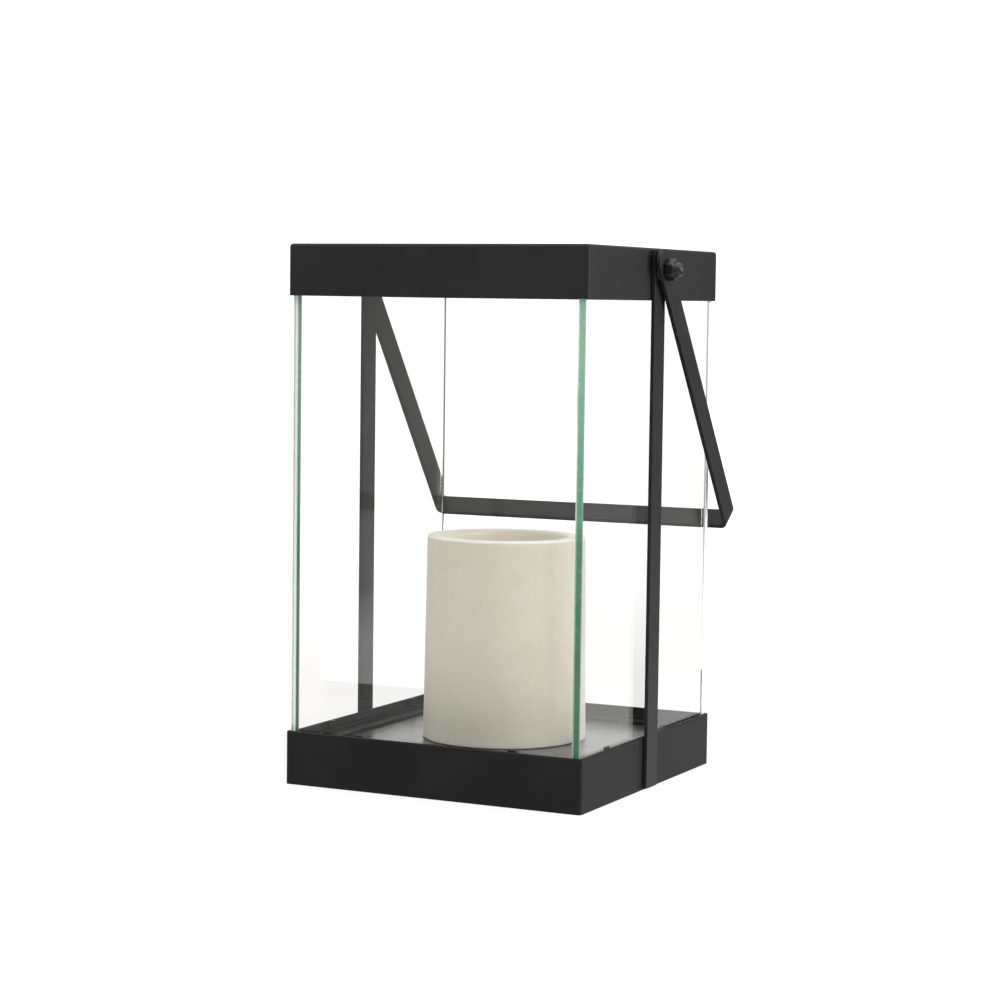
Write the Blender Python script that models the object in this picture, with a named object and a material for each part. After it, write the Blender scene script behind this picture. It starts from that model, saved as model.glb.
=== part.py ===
"""Solar lantern with an LED candle.

A sheet-metal cap and base are joined by a flat strap on each side, with four glass panes between them.
A flat-bar bail swings on a bolt at each side of the cap. Metres, +Z up, front towards -Y, and the
origin is the middle of the flat underside.
"""

import math

import bmesh
import bpy
from mathutils import Matrix, Vector

MM = 0.001
GAP = 0.3 * MM  # clearance between neighbouring pieces
OVERLAP = 1.0 * MM  # how far a joined shape or a cutter runs past a face

# Cap and base, pressed from sheet
SIDE = 152 * MM
HEIGHT = 252 * MM
CAP_HEIGHT = 24 * MM
BASE_HEIGHT = 25 * MM
SHEET = 1.5 * MM
CORNER_RADIUS = 1.9 * MM
CAP_EDGE_RADIUS = 1.5 * MM
BASE_EDGE_RADIUS = 0.4 * MM

HALF = SIDE / 2
INNER = HALF - SHEET
CAP_BOTTOM = HEIGHT - CAP_HEIGHT
CAP_CEILING = HEIGHT - SHEET

# Raised floor in the base
DECK_TOP = 18 * MM
DECK_SHEET = 1 * MM
DECK_UNDERSIDE = DECK_TOP - DECK_SHEET
BOSS_RADIUS = 3.4 * MM
BOSS_SPACING = 62 * MM  # bosses stand this far from the middle, each way
BOSS_HOLE_TOP = 11 * MM
LEAD_HOLE = 2.5 * MM

# Four equal panes in a pinwheel: each one's end covers the next one's edge
GLASS = 3 * MM
GLASS_OUTER = INNER - GAP
GLASS_INNER = GLASS_OUTER - GLASS
GLASS_BOTTOM = DECK_TOP + GAP
GLASS_TOP = CAP_BOTTOM + 5 * MM
GLASS_EDGE = 0.3 * MM

# Angle frame that keeps the panes upright
RETAINER_OUTER = GLASS_INNER - GAP
FRAME_OUTER_RADIUS = 1 * MM
FRAME_INNER_RADIUS = 0.5 * MM
RETAINER_SHEET = 1.2 * MM
RETAINER_HEIGHT = 3 * MM
RETAINER_FLANGE = 7 * MM
TAB_WIDTH = 4.5 * MM
TAB_TOP = BASE_HEIGHT + 0.4 * MM
TAB_SPACING = 40 * MM

# Cap lining
LINER_SHEET = 1.2 * MM
LINER_BOTTOM = CAP_BOTTOM + 1.2 * MM
LINER_TOP = CAP_BOTTOM + 13 * MM
POST_RADIUS = 3.5 * MM
POST_SPACING = 64 * MM
POST_BOTTOM = LINER_BOTTOM + LINER_SHEET + GAP
POST_HOLE_TOP = HEIGHT - 10 * MM

# Solar panel, set in the top of the cap
PANEL_OPENING = 50 * MM
PANEL_RIM = 2.2 * MM
FRAME_FLANGE = 56 * MM
FRAME_SHEET = 1.5 * MM
CELL_SHEET = 2 * MM
COVER_SHEET = 0.7 * MM
TERMINAL_SIZE = (20 * MM, 14 * MM, 4 * MM)
TERMINAL_X = 30 * MM

# Side straps and bail, cut from the same width of flat bar
BAR_WIDTH = 12.4 * MM
STRAP_SHEET = 1.8 * MM
STRAP_GAP = 0.2 * MM
STRAP_TOP = HEIGHT - 1 * MM
STRAP_BOTTOM = 0.6 * MM
STRAP_OUTER = HALF + STRAP_GAP + STRAP_SHEET

PIVOT_HEIGHT = 242 * MM
HANDLE_SHEET = 2 * MM
HANDLE_REACH = 150.3 * MM  # pivot to the outer face of the bar
HANDLE_OUTER = 81.4 * MM  # middle to the outer face of an arm
HANDLE_INNER = HANDLE_OUTER - HANDLE_SHEET
HANDLE_BEND = 3.4 * MM
HANDLE_END = 4.2 * MM  # pivot to the centre of the arm's round end
HANDLE_REST = math.radians(35.6)  # how far the arms stand off the vertical, towards the back

# Pivot hardware
BOLT_RADIUS = 2 * MM
BOLT_HOLE = 2.4 * MM
BOLT_HEAD_RADIUS = 3.2 * MM
BOLT_HEAD = 2.2 * MM
BOLT_END = 86.4 * MM
WASHER_RADIUS = 5 * MM
NUT_RADIUS = 5.2 * MM
NUT_HEIGHT = 4.4 * MM
DOME_RADIUS = 3.4 * MM
NUT_START = HANDLE_OUTER + GAP

# LED candle
CANDLE_RADIUS = 38 * MM
CANDLE_BOTTOM = DECK_TOP + GAP
CANDLE_TOP = 115.4 * MM
CANDLE_WALL = 4 * MM
CANDLE_FOOT_ROUND = 1.5 * MM
RIM_RADIUS = 28 * MM
CANDLE_LIP = 2 * MM
BOWL_FLOOR = 103.4 * MM
CUP_BOTTOM = BOWL_FLOOR - CANDLE_WALL
LED_HOLE = 3.3 * MM
PLUG_THICKNESS = 3 * MM
POST_OUTER = 5 * MM
POST_INNER = 3 * MM
LED_RADIUS = 2.5 * MM
LED_FLANGE = 2.9 * MM
LED_HEIGHT = 8.6 * MM
CANDLE_SCREW_Y = 20 * MM

# Battery compartment in the underside, its middle this far towards the front
BATTERY_Y = -46 * MM
OPENING_X = 40 * MM
OPENING_Y = 12 * MM
CELL_RADIUS = 7.1 * MM
CELL_HEIGHT = 9.2 * MM
CELL_START = -23.1 * MM
CELL_END = 26.2 * MM
NUB_RADIUS = 2.7 * MM
NUB_END = 27.4 * MM
SPRING_WIRE = 0.4 * MM
SPRING_WIDE = 5 * MM
SPRING_NARROW = 3 * MM
SPRING_TURNS = 3.5
SPRING_STEPS = 38
SPRING_SIDES = 5
BOX_FLANGE = 1 * MM
BOX_FLOOR = SHEET + GAP
BOX_TOP = 16.4 * MM
BOX_WALL = 1.2 * MM
CAVITY_X = 28.5 * MM
CAVITY_Y = 7.4 * MM
DOOR_BOTTOM = 0.2 * MM
DOOR_STEP = 1 * MM
DOOR_X = 31 * MM
DOOR_Y = 10 * MM
DOOR_LIP = 1 * MM
GROOVE = 0.3 * MM
GROOVE_COUNT = 4
GROOVE_START = 4 * MM
GROOVE_SPACING = 2.5 * MM
GROOVE_HALF_WIDTH = 0.5 * MM
GROOVE_HALF_LENGTH = 6 * MM
BOX_SCREW_X = 36 * MM
BOX_SCREW_Y = BATTERY_Y + 15.6 * MM

# Electronics under the floor, towards the back
SWITCH_Y = 46 * MM
SWITCH_TRAVEL = 4 * MM
SWITCH_REST_X = -SWITCH_TRAVEL / 2
SWITCH_BODY = (12.4 * MM, 7.2 * MM)
SWITCH_TOP = 6.4 * MM
SWITCH_EARS = (23.2 * MM, 6.6 * MM)
SWITCH_EAR_X = 9.2 * MM
EAR_TOP = 2.6 * MM
SWITCH_CAVITY = (9.2 * MM, 5.2 * MM)
SWITCH_CAVITY_TOP = 4.4 * MM
SWITCH_CARRIER = (4.4 * MM, 4.4 * MM)
SWITCH_KNOB = (3 * MM, 2.4 * MM)
KNOB_BOTTOM = 0.4 * MM
BOARD_BOTTOM = 6.7 * MM
BOARD_SHEET = 1.6 * MM
BOARD_TOP = BOARD_BOTTOM + BOARD_SHEET
BOARD_SIZE = (36 * MM, 26 * MM)
CHIP_X = -10.5 * MM
CHIP_SIZE = (5 * MM, 4 * MM)
CHIP_TOP = BOARD_TOP + 1.8 * MM
INDUCTOR_RADIUS = 3.5 * MM
INDUCTOR_TOP = BOARD_TOP + 5.3 * MM
INDUCTOR_PLACE = (-1 * MM, SWITCH_Y + 6 * MM, 0)

# Flat leads under the floor
LEAD_HALF_WIDTH = 1 * MM
LEAD_HALF_DEPTH = 0.6 * MM
LEAD_HEIGHT = 12.6 * MM
LED_LEAD_END = SWITCH_Y - 11 * MM
BATTERY_LEAD_END = SWITCH_Y - 8 * MM
BATTERY_LEAD_X = 12 * MM

# Cable from the panel, behind the right strap
CABLE_RADIUS = 0.65 * MM
CABLE_X = 75.15 * MM
CABLE_Y = 4.6 * MM
CABLE_TOP = 244.8 * MM
CABLE_BENDS = [
    # (x, z) from under the cap to under the floor
    (66 * MM, CABLE_TOP),
    (71.5 * MM, CABLE_TOP - 1 * MM),
    (74 * MM, CABLE_TOP - 6 * MM),
    (CABLE_X, CABLE_TOP - 9.5 * MM),
    (CABLE_X, LEAD_HEIGHT + 1.5 * MM),
    (CABLE_X - 2.5 * MM, LEAD_HEIGHT),
    (66 * MM, LEAD_HEIGHT),
]
CABLE_TO_BOARD = [
    (30 * MM, 40 * MM, LEAD_HEIGHT),
    (16 * MM, 44 * MM, LEAD_HEIGHT),
    (15 * MM, 44 * MM, BOARD_TOP + GAP),
]
NOTCH_WIDTH = 2.4 * MM
NOTCH_LOW = 9.5 * MM
NOTCH_HIGH = CAP_BOTTOM + 13 * MM

SCREW_RADIUS = 1.25 * MM
SCREW_HOLE = 1.6 * MM
SCREW_HEAD_RADIUS = 2.6 * MM
SCREW_HEAD = 1.3 * MM
SCREW_SINK = 0.1 * MM  # how far a head sits below its face
DECK_SCREW = 9 * MM
LINER_SCREW = 8 * MM
CANDLE_SCREW = 5.5 * MM
SHORT_SCREW = 5 * MM

ROUND_STEPS = 32
SMALL_STEPS = 20
SCREW_STEPS = 14
ARC_STEPS = 5

FINISHES = {
    # name: (colour, roughness, metallic, transmission)
    "black_coat": ((0.022, 0.022, 0.023), 0.42, 0.0, 0.0),
    "glass": ((0.86, 0.97, 0.91), 0.02, 0.0, 1.0),
    "ivory": ((0.76, 0.71, 0.58), 0.5, 0.0, 0.0),
    "steel": ((0.50, 0.50, 0.51), 0.3, 1.0, 0.0),
    "black_nickel": ((0.10, 0.10, 0.11), 0.28, 1.0, 0.0),
    "black_plastic": ((0.02, 0.02, 0.02), 0.5, 0.0, 0.0),
    "grey_plastic": ((0.30, 0.30, 0.31), 0.5, 0.0, 0.0),
    "nylon": ((0.05, 0.05, 0.05), 0.55, 0.0, 0.0),
    "silicon": ((0.012, 0.018, 0.055), 0.25, 0.0, 0.0),
    "clear_resin": ((0.92, 0.95, 0.97), 0.08, 0.0, 1.0),
    "lamp_resin": ((0.95, 0.90, 0.70), 0.1, 0.0, 0.8),
    "circuit_green": ((0.02, 0.16, 0.06), 0.45, 0.0, 0.0),
    "cell_jacket": ((0.05, 0.22, 0.12), 0.35, 0.2, 0.0),
    "cable_black": ((0.015, 0.015, 0.015), 0.6, 0.0, 0.0),
}


def finish(name):
    """The material of this finish, made the first time it is asked for."""
    found = bpy.data.materials.get(name)
    if found:
        return found
    colour, roughness, metallic, transmission = FINISHES[name]
    made = bpy.data.materials.new(name)
    made.use_nodes = True
    shader = made.node_tree.nodes["Principled BSDF"]
    shader.inputs["Base Color"].default_value = (*colour, 1)
    shader.inputs["Roughness"].default_value = roughness
    shader.inputs["Metallic"].default_value = metallic
    shader.inputs["Transmission Weight"].default_value = transmission
    made.diffuse_color = (*colour, 1)
    return made


# ---------------------------------------------------------------- shapes


def block(low, high):
    """A box between two corners."""
    low, high = Vector(low), Vector(high)
    mesh = bmesh.new()
    place = Matrix.Translation((low + high) / 2) @ Matrix.Diagonal((*(high - low), 1))
    bmesh.ops.create_cube(mesh, size=1, matrix=place)
    return mesh


def centred_block(size, y, low, high):
    """A box of this length and width about X = 0 and a given Y."""
    half_x, half_y = size[0] / 2, size[1] / 2
    return block((-half_x, y - half_y, low), (half_x, y + half_y, high))


def along(axis, across, position):
    """A point from its two coordinates across an axis, in the order X, Y, Z, and its place along it."""
    point = list(across)
    point.insert("XYZ".index(axis), position)
    return point


def prism(outline, axis, start, end):
    """An outline drawn across an axis and extruded along it."""
    mesh = bmesh.new()
    face = mesh.faces.new([mesh.verts.new(along(axis, point, start)) for point in outline])
    extruded = bmesh.ops.extrude_face_region(mesh, geom=[face])["geom"]
    far_end = [item for item in extruded if isinstance(item, bmesh.types.BMVert)]
    bmesh.ops.translate(mesh, verts=far_end, vec=along(axis, (0, 0), end - start))
    bmesh.ops.recalc_face_normals(mesh, faces=mesh.faces)
    return mesh


def turned(profile, steps=ROUND_STEPS, axis="Z"):
    """A profile of (radius, height) points, spun about Z and then laid along the axis.

    A profile that starts and ends on the axis is left open there, and any other one is closed.
    """
    mesh = bmesh.new()
    points = [mesh.verts.new((radius, 0, height)) for radius, height in profile]
    pairs = list(zip(points, points[1:]))
    if profile[0][0] > 0:
        pairs.append((points[-1], points[0]))
    edges = [mesh.edges.new(pair) for pair in pairs]
    bmesh.ops.spin(
        mesh, geom=points + edges, axis=(0, 0, 1), cent=(0, 0, 0),
        angle=2 * math.pi, steps=steps, use_merge=True,
    )
    bmesh.ops.remove_doubles(mesh, verts=mesh.verts, dist=0.001 * MM)
    bmesh.ops.recalc_face_normals(mesh, faces=mesh.faces)
    if axis == "X":
        bmesh.ops.rotate(mesh, verts=mesh.verts, matrix=Matrix.Rotation(math.pi / 2, 3, "Y"))
    return mesh


def disc(radius, start, end, steps=ROUND_STEPS, axis="Z"):
    """A plain cylinder from start to end along its axis."""
    return turned([(0, start), (radius, start), (radius, end), (0, end)], steps, axis)


def arc(centre, radius, first, last, steps=ARC_STEPS):
    """Points round part of a circle, both ends included, with the angles in degrees."""
    angles = [math.radians(first + (last - first) * step / steps) for step in range(steps + 1)]
    return [(centre[0] + radius * math.cos(a), centre[1] + radius * math.sin(a)) for a in angles]


def rounded_square(half, radius):
    """The outline of a square with round corners, about the middle."""
    middle = half - radius
    outline = []
    for turn, (x, y) in enumerate([(1, 1), (-1, 1), (-1, -1), (1, -1)]):
        outline += arc((x * middle, y * middle), radius, 90 * turn, 90 * turn + 90)
    return outline


def soften(mesh, chosen, width, segments):
    """Rounds the edges that a test picks."""
    edges = [edge for edge in mesh.edges if chosen(edge)]
    bmesh.ops.bevel(
        mesh, geom=edges, offset=width, segments=segments, profile=0.5, affect="EDGES"
    )
    return mesh


def level(height):
    """A test for the edges that lie flat at one height."""
    return lambda edge: all(abs(corner.co.z - height) < 0.01 * MM for corner in edge.verts)


def moved(mesh, offset):
    bmesh.ops.translate(mesh, verts=mesh.verts, vec=offset)
    return mesh


# ---------------------------------------------------------------- objects


def as_object(name, mesh, parent=None, smooth=True):
    """Turns a bmesh into an object of this name."""
    data = bpy.data.meshes.new(name)
    mesh.to_mesh(data)
    mesh.free()
    if smooth:
        data.shade_smooth()
        data.set_sharp_from_angle(angle=math.radians(35))
    made = bpy.data.objects.new(name, data)
    made.parent = parent
    bpy.context.scene.collection.objects.link(made)
    return made


def piece(name, mesh, finish_name, parent=None):
    """One solid piece of the lantern."""
    made = as_object(name, mesh, parent)
    made.data.materials.append(finish(finish_name))
    return made


def boolean(target, operation, mesh):
    """Joins a shape to the target, cuts it away, or keeps what they share."""
    number = len(target.modifiers)
    tool = as_object(f"{target.name}_{operation.lower()}_{number}", mesh, target, False)
    tool.hide_render = True
    tool.display_type = "WIRE"
    modifier = target.modifiers.new(operation.title(), "BOOLEAN")
    modifier.operation = operation
    modifier.object = tool


def join(target, *meshes):
    for mesh in meshes:
        boolean(target, "UNION", mesh)


def cut(target, *meshes):
    for mesh in meshes:
        boolean(target, "DIFFERENCE", mesh)


def empty(name, location, rotation=(0, 0, 0)):
    """A bare parent that holds a moving piece's axis."""
    made = bpy.data.objects.new(name, None)
    made.location = location
    made.rotation_euler = rotation
    bpy.context.scene.collection.objects.link(made)
    return made


def screw(name, x, y, face, length):
    """A countersunk screw with a cross recess that goes up through a face."""
    head = [(0, 0), (SCREW_HEAD_RADIUS, 0), (SCREW_RADIUS, SCREW_HEAD)]
    shank = [(SCREW_RADIUS, length - SCREW_RADIUS / 2), (SCREW_RADIUS / 2, length), (0, length)]
    made = piece(name, turned(head + shank, SCREW_STEPS), "steel")
    arm = 1.3 * MM
    slot = 0.3 * MM
    depth = 0.8 * MM
    cross = [(arm, slot), (slot, slot), (slot, arm)]
    cross += [(-y, x) for x, y in cross]
    cross += [(-x, -y) for x, y in cross]
    cut(made, prism(cross, "Z", -OVERLAP, depth))
    made.location = (x, y, face + SCREW_SINK)


def screw_seat(x, y, face, sheet):
    """The countersunk hole through a sheet that a screw's head and shank sit in."""
    wide = SCREW_HEAD_RADIUS + GAP
    through = sheet + OVERLAP
    profile = [(0, -OVERLAP), (wide, -OVERLAP), (wide, SCREW_SINK)]
    profile += [(SCREW_HOLE, SCREW_HEAD + GAP), (SCREW_HOLE, through), (0, through)]
    return moved(turned(profile, SCREW_STEPS), (x, y, face))


def screw_hole(x, y, start, end):
    """A plain hole for a screw's shank."""
    return moved(disc(SCREW_HOLE, start, end, SCREW_STEPS), (x, y, 0))


def corners(spacing):
    """The four places at this spacing from the middle, anticlockwise from the right rear."""
    return [(spacing, spacing), (-spacing, spacing), (-spacing, -spacing), (spacing, -spacing)]


# ---------------------------------------------------------------- base


def base_shell():
    shell = prism(rounded_square(HALF, CORNER_RADIUS), "Z", 0, BASE_HEIGHT)
    soften(shell, level(BASE_HEIGHT), BASE_EDGE_RADIUS, 1)
    made = piece("base_shell", shell, "black_coat")
    cut(made, prism(rounded_square(INNER, CORNER_RADIUS / 2), "Z", SHEET, BASE_HEIGHT + OVERLAP))
    cut(made, block((-OPENING_X, BATTERY_Y - OPENING_Y, -OVERLAP),
                    (OPENING_X, BATTERY_Y + OPENING_Y, SHEET + OVERLAP)))
    slot_x = 3.7 * MM
    slot_y = 1.6 * MM
    cut(made, block((-slot_x, SWITCH_Y - slot_y, -OVERLAP), (slot_x, SWITCH_Y + slot_y, SHEET + OVERLAP)))
    cut(made, cable_notch(NOTCH_LOW, BASE_HEIGHT + OVERLAP))
    for x, y in underside_screws():
        cut(made, screw_seat(x, y, 0, SHEET))


def cable_notch(low, high):
    """The cutter for the slit in the right side that the cable lies in."""
    return block((INNER - OVERLAP, CABLE_Y - NOTCH_WIDTH / 2, low),
                 (HALF + OVERLAP, CABLE_Y + NOTCH_WIDTH / 2, high))


def underside_screws():
    """Where screws pass up through the underside."""
    places = corners(BOSS_SPACING)
    places += [(side * BOX_SCREW_X, BOX_SCREW_Y) for side in (-1, 1)]
    places += [(side * SWITCH_EAR_X, SWITCH_Y) for side in (-1, 1)]
    return places


def floor_deck():
    plate = prism(rounded_square(GLASS_OUTER, CORNER_RADIUS / 2), "Z", DECK_UNDERSIDE, DECK_TOP)
    made = piece("floor_deck", plate, "black_coat")
    for x, y in corners(BOSS_SPACING):
        boss = disc(BOSS_RADIUS, SHEET + GAP, DECK_UNDERSIDE + DECK_SHEET / 2, SCREW_STEPS)
        join(made, moved(boss, (x, y, 0)))
        cut(made, screw_hole(x, y, 0, BOSS_HOLE_TOP))
    cut(made, disc(LEAD_HOLE, DECK_UNDERSIDE - OVERLAP, DECK_TOP + OVERLAP, SCREW_STEPS))
    for side in (-1, 1):
        cut(made, screw_seat(0, side * CANDLE_SCREW_Y, DECK_UNDERSIDE, DECK_SHEET))


def deck_screws():
    for number, (x, y) in enumerate(corners(BOSS_SPACING), 1):
        screw(f"deck_screw_{number}", x, y, 0, DECK_SCREW)


def glass_retainer():
    low = GLASS_BOTTOM
    high = low + RETAINER_HEIGHT
    inner = RETAINER_OUTER - RETAINER_SHEET
    flange = RETAINER_OUTER - RETAINER_FLANGE
    outside = prism(rounded_square(RETAINER_OUTER, FRAME_OUTER_RADIUS), "Z", low, high)
    made = piece("glass_retainer", outside, "black_coat")
    cut(made, prism(rounded_square(inner, FRAME_INNER_RADIUS), "Z", low + RETAINER_SHEET, high + OVERLAP))
    cut(made, prism(rounded_square(flange, FRAME_INNER_RADIUS), "Z", low - OVERLAP, high + OVERLAP))
    tuck = 0.1 * MM  # the tabs stand this far inside the frame's faces
    for turn in range(4):
        for spacing in (-TAB_SPACING, TAB_SPACING):
            tab = block((spacing - TAB_WIDTH / 2, -RETAINER_OUTER + tuck, low + RETAINER_SHEET / 2),
                        (spacing + TAB_WIDTH / 2, -inner - tuck, TAB_TOP))
            bmesh.ops.rotate(tab, verts=tab.verts, matrix=Matrix.Rotation(turn * math.pi / 2, 3, "Z"))
            join(made, tab)


# ---------------------------------------------------------------- glass


def glass_panes():
    """Each pane starts at its outer left corner and stops against the next pane's inner face."""
    for turn, name in enumerate(["glass_front", "glass_right", "glass_back", "glass_left"]):
        pane = block((-GLASS_OUTER, -GLASS_OUTER, GLASS_BOTTOM),
                     (GLASS_INNER - GAP, -GLASS_INNER, GLASS_TOP))
        soften(pane, lambda edge: True, GLASS_EDGE, 1)
        bmesh.ops.rotate(pane, verts=pane.verts, matrix=Matrix.Rotation(turn * math.pi / 2, 3, "Z"))
        piece(name, pane, "glass")


# ---------------------------------------------------------------- cap


def cap_shell():
    shell = prism(rounded_square(HALF, CORNER_RADIUS), "Z", CAP_BOTTOM, HEIGHT)
    soften(shell, level(HEIGHT), CAP_EDGE_RADIUS, 4)
    made = piece("cap_shell", shell, "black_coat")
    cut(made, prism(rounded_square(INNER, CORNER_RADIUS / 2), "Z", CAP_BOTTOM - OVERLAP, CAP_CEILING))
    cut(made, prism(rounded_square(PANEL_OPENING, 1.5 * MM), "Z", CAP_CEILING - OVERLAP, HEIGHT + OVERLAP))
    for x, y in corners(POST_SPACING):
        post = disc(POST_RADIUS, POST_BOTTOM, CAP_CEILING + SHEET / 2, SCREW_STEPS)
        join(made, moved(post, (x, y, 0)))
        cut(made, screw_hole(x, y, POST_BOTTOM - OVERLAP, POST_HOLE_TOP))
    for side in (-1, 1):
        cut(made, bolt_hole(side, INNER, HALF))
    cut(made, cable_notch(CAP_BOTTOM - OVERLAP, NOTCH_HIGH))


def bolt_hole(side, inner, outer, height=PIVOT_HEIGHT):
    """The cutter for a bolt hole through what lies between two distances from the middle."""
    low, high = sorted((side * (inner - OVERLAP), side * (outer + OVERLAP)))
    return moved(disc(BOLT_HOLE, low, high, SMALL_STEPS, "X"), (0, 0, height))


def cap_liner():
    """A shallow tray, open upwards, that closes the cap and backs the panes' top edges."""
    outside = prism(rounded_square(RETAINER_OUTER, FRAME_OUTER_RADIUS), "Z", LINER_BOTTOM, LINER_TOP)
    made = piece("cap_liner", outside, "black_coat")
    hollow = rounded_square(RETAINER_OUTER - LINER_SHEET, FRAME_INNER_RADIUS)
    cut(made, prism(hollow, "Z", LINER_BOTTOM + LINER_SHEET, LINER_TOP + OVERLAP))
    for number, (x, y) in enumerate(corners(POST_SPACING), 1):
        cut(made, screw_seat(x, y, LINER_BOTTOM, LINER_SHEET))
        screw(f"liner_screw_{number}", x, y, LINER_BOTTOM, LINER_SCREW)


def solar_panel():
    """A frame under the cap's opening, the cells on its floor, and a clear cover level with the cap."""
    outer = PANEL_OPENING - GAP
    inner = outer - PANEL_RIM
    flange_top = CAP_CEILING - GAP
    frame_bottom = flange_top - 2 * FRAME_SHEET
    floor = frame_bottom + FRAME_SHEET
    flange = prism(rounded_square(FRAME_FLANGE, 2 * MM), "Z", frame_bottom, flange_top)
    frame = piece("solar_frame", flange, "black_plastic")
    join(frame, prism(rounded_square(outer, 1.2 * MM), "Z", floor, HEIGHT))
    cut(frame, prism(rounded_square(inner, 0.8 * MM), "Z", floor, HEIGHT + OVERLAP))
    wire_hole = disc(2 * MM, frame_bottom - OVERLAP, floor + OVERLAP, SCREW_STEPS)
    cut(frame, moved(wire_hole, (TERMINAL_X, 0, 0)))
    tile = rounded_square(inner - GAP, 0.6 * MM)
    cells_top = floor + GAP + CELL_SHEET
    piece("solar_cells", prism(tile, "Z", floor + GAP, cells_top), "silicon")
    cover_bottom = cells_top + GAP
    piece("solar_cover", prism(tile, "Z", cover_bottom, cover_bottom + COVER_SHEET), "clear_resin")
    length, width, depth = TERMINAL_SIZE
    box_top = frame_bottom - GAP
    box = block((TERMINAL_X - length / 2, -width / 2, box_top - depth),
                (TERMINAL_X + length / 2, width / 2, box_top))
    piece("terminal_box", box, "black_plastic")


# ---------------------------------------------------------------- straps, bail and pivots


def straps():
    for name, side in (("strap_left", -1), ("strap_right", 1)):
        low, high = sorted((side * (HALF + STRAP_GAP), side * STRAP_OUTER))
        strap = block((low, -BAR_WIDTH / 2, STRAP_BOTTOM), (high, BAR_WIDTH / 2, STRAP_TOP))
        made = piece(name, strap, "black_coat")
        cut(made, bolt_hole(side, HALF, STRAP_OUTER))


def handle():
    """A flat bar bent into a U that hangs from the pivots, drawn hanging straight down."""
    outer_bend = HANDLE_OUTER - HANDLE_BEND
    inner_radius = HANDLE_BEND - HANDLE_SHEET
    centre_z = HANDLE_BEND - HANDLE_REACH
    top = HANDLE_END + BAR_WIDTH
    outline = [(HANDLE_INNER, top), (HANDLE_OUTER, top)]
    outline += arc((outer_bend, centre_z), HANDLE_BEND, 0, -90)
    outline += arc((-outer_bend, centre_z), HANDLE_BEND, -90, -180)
    outline += [(-HANDLE_OUTER, top), (-HANDLE_INNER, top)]
    outline += arc((-outer_bend, centre_z), inner_radius, -180, -90)
    outline += arc((outer_bend, centre_z), inner_radius, -90, 0)
    pivot = empty("handle_pivot", (0, 0, PIVOT_HEIGHT), (HANDLE_REST, 0, 0))
    made = piece("handle", prism(outline, "Y", -BAR_WIDTH, BAR_WIDTH), "black_coat", pivot)
    bottom = -HANDLE_REACH - OVERLAP
    side_view = [(-BAR_WIDTH / 2, bottom), (BAR_WIDTH / 2, bottom)]
    side_view += arc((0, HANDLE_END), BAR_WIDTH / 2, 0, 180, 4 * ARC_STEPS)
    reach = HANDLE_OUTER + OVERLAP
    boolean(made, "INTERSECT", prism(side_view, "X", -reach, reach))
    for side in (-1, 1):
        cut(made, bolt_hole(side, HANDLE_INNER, HANDLE_OUTER, 0))


def pivot_hardware():
    """A bolt from inside the cap, a washer that spaces the arm off the strap, and a domed cap nut."""
    washer_start = STRAP_OUTER + STRAP_GAP
    washer_end = HANDLE_INNER - STRAP_GAP
    head_end = INNER - GAP
    head_start = head_end - BOLT_HEAD
    nut_end = NUT_START + NUT_HEIGHT
    dome_start = NUT_START + OVERLAP
    bolt = [(0, head_start), (BOLT_HEAD_RADIUS, head_start), (BOLT_HEAD_RADIUS, head_end)]
    bolt += [(BOLT_RADIUS, head_end), (BOLT_RADIUS, BOLT_END), (0, BOLT_END)]
    washer = [(BOLT_HOLE, washer_start), (WASHER_RADIUS, washer_start)]
    washer += [(WASHER_RADIUS, washer_end), (BOLT_HOLE, washer_end)]
    dome = [(DOME_RADIUS, dome_start)] + arc((0, nut_end), DOME_RADIUS, 0, 90)[:-1]
    dome += [(0, nut_end + DOME_RADIUS), (0, dome_start)]
    for name, turn in (("left", math.pi), ("right", 0)):
        parent = empty(f"pivot_{name}", (0, 0, PIVOT_HEIGHT), (0, 0, turn))
        piece(f"pivot_bolt_{name}", turned(bolt, SMALL_STEPS, "X"), "steel", parent)
        piece(f"pivot_washer_{name}", turned(washer, SMALL_STEPS, "X"), "nylon", parent)
        nut = piece(f"pivot_nut_{name}", hexagon(NUT_START, nut_end), "black_nickel", parent)
        join(nut, turned(dome, SMALL_STEPS, "X"))
        cut(nut, disc(BOLT_HOLE, NUT_START - OVERLAP, BOLT_END + GAP, SMALL_STEPS, "X"))


def hexagon(start, end):
    """A hexagonal nut along X with a point at the top, its outer corners turned off."""
    points = [math.radians(90 + 60 * corner) for corner in range(6)]
    outline = [(NUT_RADIUS * math.cos(angle), NUT_RADIUS * math.sin(angle)) for angle in points]
    mesh = prism(outline, "X", start, end)
    flat = NUT_RADIUS * math.cos(math.radians(30))
    chamfer = 1.1 * MM
    face_radius = flat - 0.3 * MM
    cone = [(0, start - OVERLAP), (NUT_RADIUS, start - OVERLAP), (NUT_RADIUS, end - chamfer)]
    cone += [(face_radius, end), (0, end)]
    return shared(mesh, turned(cone, ROUND_STEPS, "X"))


def shared(mesh, other):
    """What two shapes have in common, as a plain mesh."""
    kept = as_object("shared_shape", mesh, None, False)
    boolean(kept, "INTERSECT", other)
    tool = kept.modifiers[0].object
    bpy.context.view_layer.update()
    result = bmesh.new()
    result.from_object(kept, bpy.context.evaluated_depsgraph_get())
    bpy.data.objects.remove(tool)
    bpy.data.objects.remove(kept)
    return result


# ---------------------------------------------------------------- candle


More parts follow.
